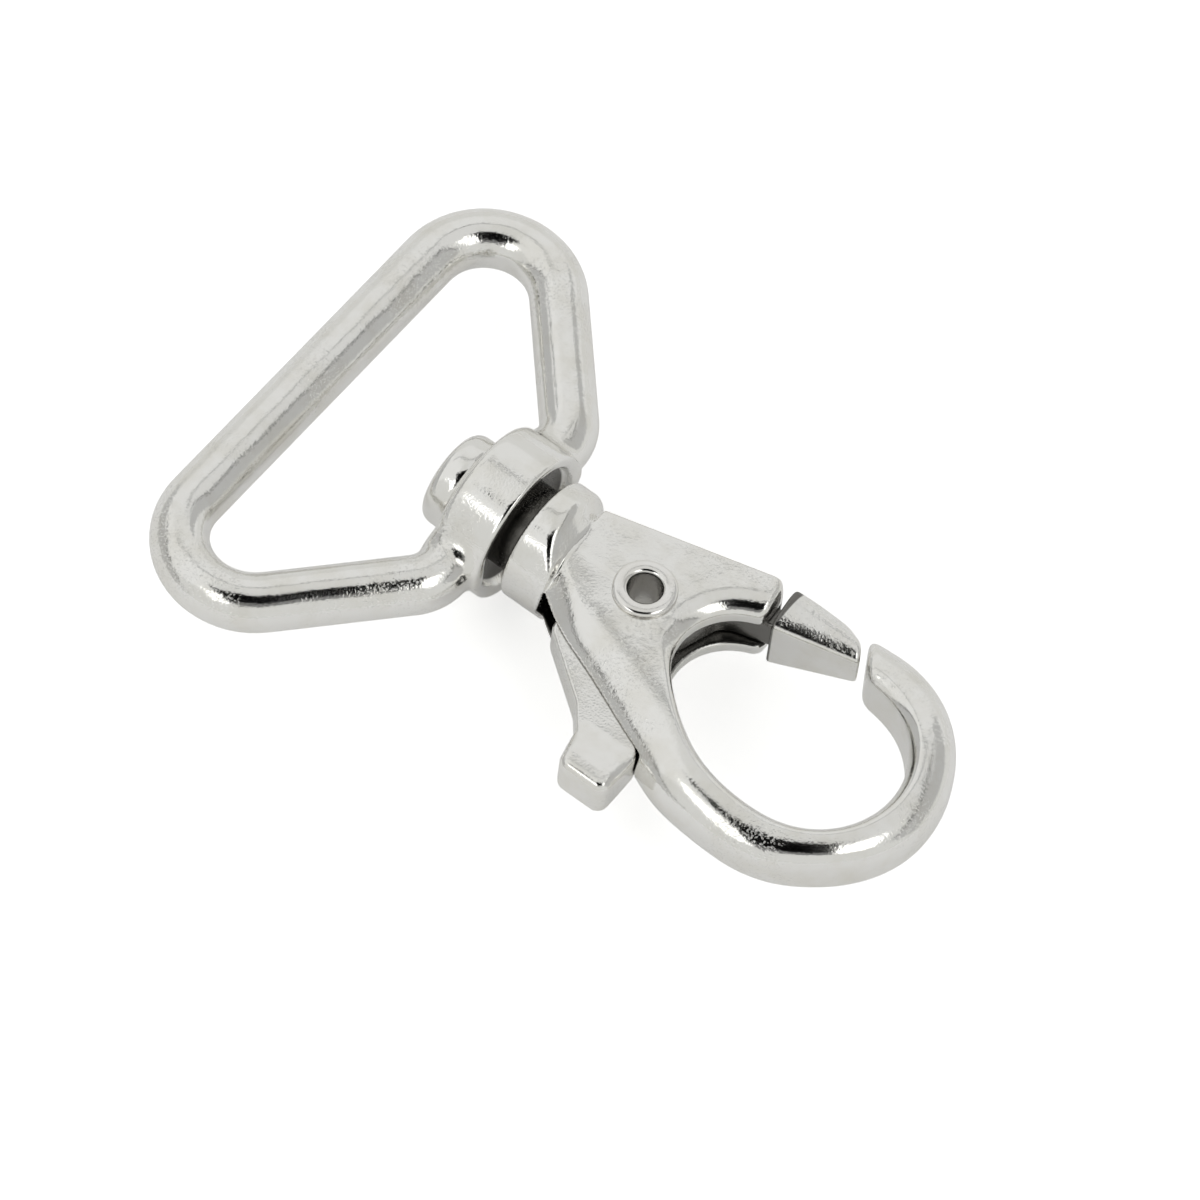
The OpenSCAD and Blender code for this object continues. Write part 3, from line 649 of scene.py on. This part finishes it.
floor_mat = bpy.data.materials.new("floor")
floor_mat.use_nodes = True
floor_tree = floor_mat.node_tree
floor_shader = floor_tree.nodes["Principled BSDF"]
floor_shader.inputs["Base Color"].default_value = (0.93, 0.93, 0.93, 1)
floor_shader.inputs["Roughness"].default_value = 0.9
floor_shader.inputs["Specular IOR Level"].default_value = 0.0
floor_path = floor_tree.nodes.new("ShaderNodeLightPath")
floor_glow = floor_tree.nodes.new("ShaderNodeMix")
floor_glow.data_type = "RGBA"
floor_glow.inputs["A"].default_value = (0.10, 0.10, 0.10, 1)
floor_glow.inputs["B"].default_value = (0.55, 0.55, 0.55, 1)
floor_tree.links.new(floor_path.outputs["Is Camera Ray"], floor_glow.inputs["Factor"])
floor_tree.links.new(floor_glow.outputs["Result"], floor_shader.inputs["Emission Color"])
floor_shader.inputs["Emission Strength"].default_value = 1.0
card("floor", (0, 0, -0.0002), (0, 0, 1), (1.6, 1.6), floor_mat, camera=True)

# ---------------------------------------------------------------- the camera
# The long lens looks along azimuth 31 and elevation 58 degrees, turned by the roll of the photograph
AZIMUTH, ELEVATION, ROLL = 31.0, 58.0, 8.0
DISTANCE = 0.9
az, el = np.radians(AZIMUTH), np.radians(ELEVATION)
back_dir = Vector((np.sin(az) * np.cos(el), -np.cos(az) * np.cos(el), np.sin(el)))
right = Vector((np.cos(az), np.sin(az), 0))
up = back_dir.cross(right)
roll = np.radians(ROLL)
cam_right = right * float(np.cos(roll)) + up * float(np.sin(roll))
cam_up = back_dir.cross(cam_right)
# The pivot's top lies at 645, 590 of the photograph's 1200, at 13 pixels a millimetre
pivot_top = Vector(((PIVOT[0]) / 1000, PIVOT[1] / 1000, (PIVOT[2] + 3.6) / 1000))
centre = pivot_top - cam_right * (45 / 13 / 1000) + cam_up * (-10.3 / 13 / 1000)
cam_data = bpy.data.cameras.new("camera")
cam = bpy.data.objects.new("camera", cam_data)
scene.collection.objects.link(cam)
cam_data.sensor_width = 36
cam_data.lens = 36 * DISTANCE / (1200 / 13 / 1000)
cam_data.clip_start, cam_data.clip_end = 0.01, 10
basis = Matrix((cam_right, cam_up, back_dir)).transposed().to_4x4()
basis.translation = centre + back_dir * DISTANCE
cam.matrix_world = basis
scene.camera = cam


def studio_card(name, across, up_by, width, height, level, far=0.6):
    """A card seen from the object at angles across and up from the camera, in degrees, and as wide and high
    in degrees, facing the object; level is its brightness."""
    u, v = np.radians(across), np.radians(up_by)
    way = back_dir * float(np.cos(u) * np.cos(v)) + cam_right * float(np.sin(u) * np.cos(v)) + cam_up * float(np.sin(v))
    size = [2 * far * float(np.tan(np.radians(t / 2))) for t in (width, height)]
    w, h = size[0] / 2, size[1] / 2
    mesh = bpy.data.meshes.new(name)
    mesh.from_pydata([(-w, -h, 0), (w, -h, 0), (w, h, 0), (-w, h, 0)], [], [(0, 1, 2, 3)])
    obj = bpy.data.objects.new(name, mesh)
    scene.collection.objects.link(obj)
    side = cam_up.cross(way).normalized()
    frame_of = Matrix((side, way.cross(side), way)).transposed().to_4x4()
    frame_of.translation = centre + way * far
    obj.matrix_world = frame_of
    mesh.materials.append(emission(name + "_glow", (1, 1, 0.985), level))
    obj.visible_camera = False
    return obj


# Opening that the camera looks through, black above and grey below, between two bright boxes
studio_card("opening_black", -0.5, 12, 39, 32, 0.0, 0.40)
studio_card("opening_grey", -0.5, -10, 39, 12, 0.2, 0.40)
studio_card("box_left", -29, -2, 18, 26, 1.7, 0.22)
studio_card("box_right", 28.5, 4, 18, 32, 1.7, 0.41)
# Walls and ceiling of the light tent, with the dark seams between them
studio_card("left_light", -43, 38, 48, 64, 0.84, 0.9)
studio_card("left_grey", -88, 20, 36, 90, 0.50, 0.9)
studio_card("left_seam", -68, 25, 2.4, 90, 0.02, 0.87)
studio_card("ceiling", 5, 77, 110, 34, 0.80, 0.9)
studio_card("ceiling_seam", 5, 59, 110, 1.8, 0.15, 0.87)
studio_card("right_light", 35, 40, 30, 36, 0.74, 0.9)
studio_card("right_grey", 67, 25, 32, 80, 0.50, 0.9)
studio_card("right_seam", 50.5, 30, 2.4, 80, 0.02, 0.87)
